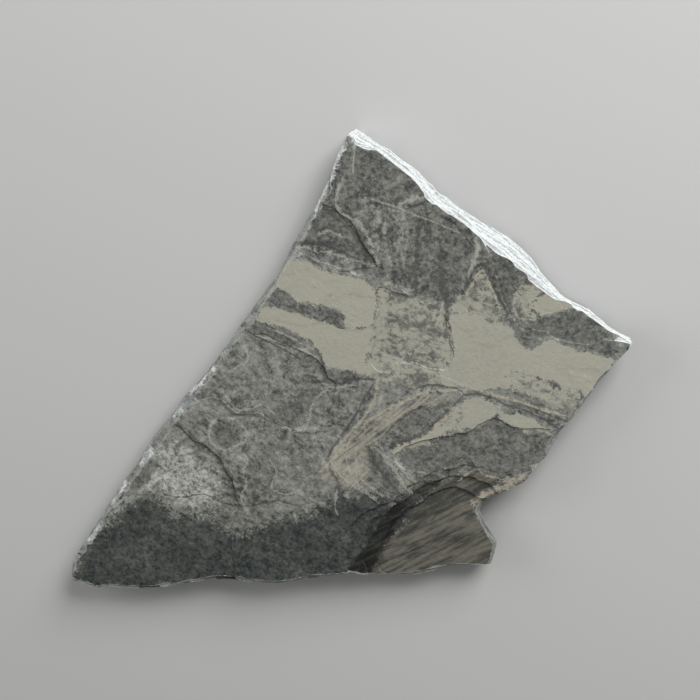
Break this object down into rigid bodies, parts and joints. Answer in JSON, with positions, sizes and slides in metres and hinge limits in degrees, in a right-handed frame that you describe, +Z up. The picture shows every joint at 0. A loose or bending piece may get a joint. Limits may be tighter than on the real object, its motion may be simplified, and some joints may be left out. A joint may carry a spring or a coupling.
{
  "type": "slate slab",
  "caption": "Irregular flagstone of riven grey slate, lying flat: stepped broken edges, a split face with shallow leaf ledges, tan and dark mineral staining.",
  "frame": {"origin": "on the ground, under the middle of the slab's box", "axes": "+Z up through the thickness, towards the split face; +X along the slab's greatest length, towards its broad end"},
  "size_m": [0.8422, 0.5514, 0.038],
  "materials": {
    "slate": "riven matt slate, mid grey with tan patches, darker swirls and pale broken edges"
  },
  "bodies": {
    "root": {"slab": "slate"}
  },
  "joints": []
}
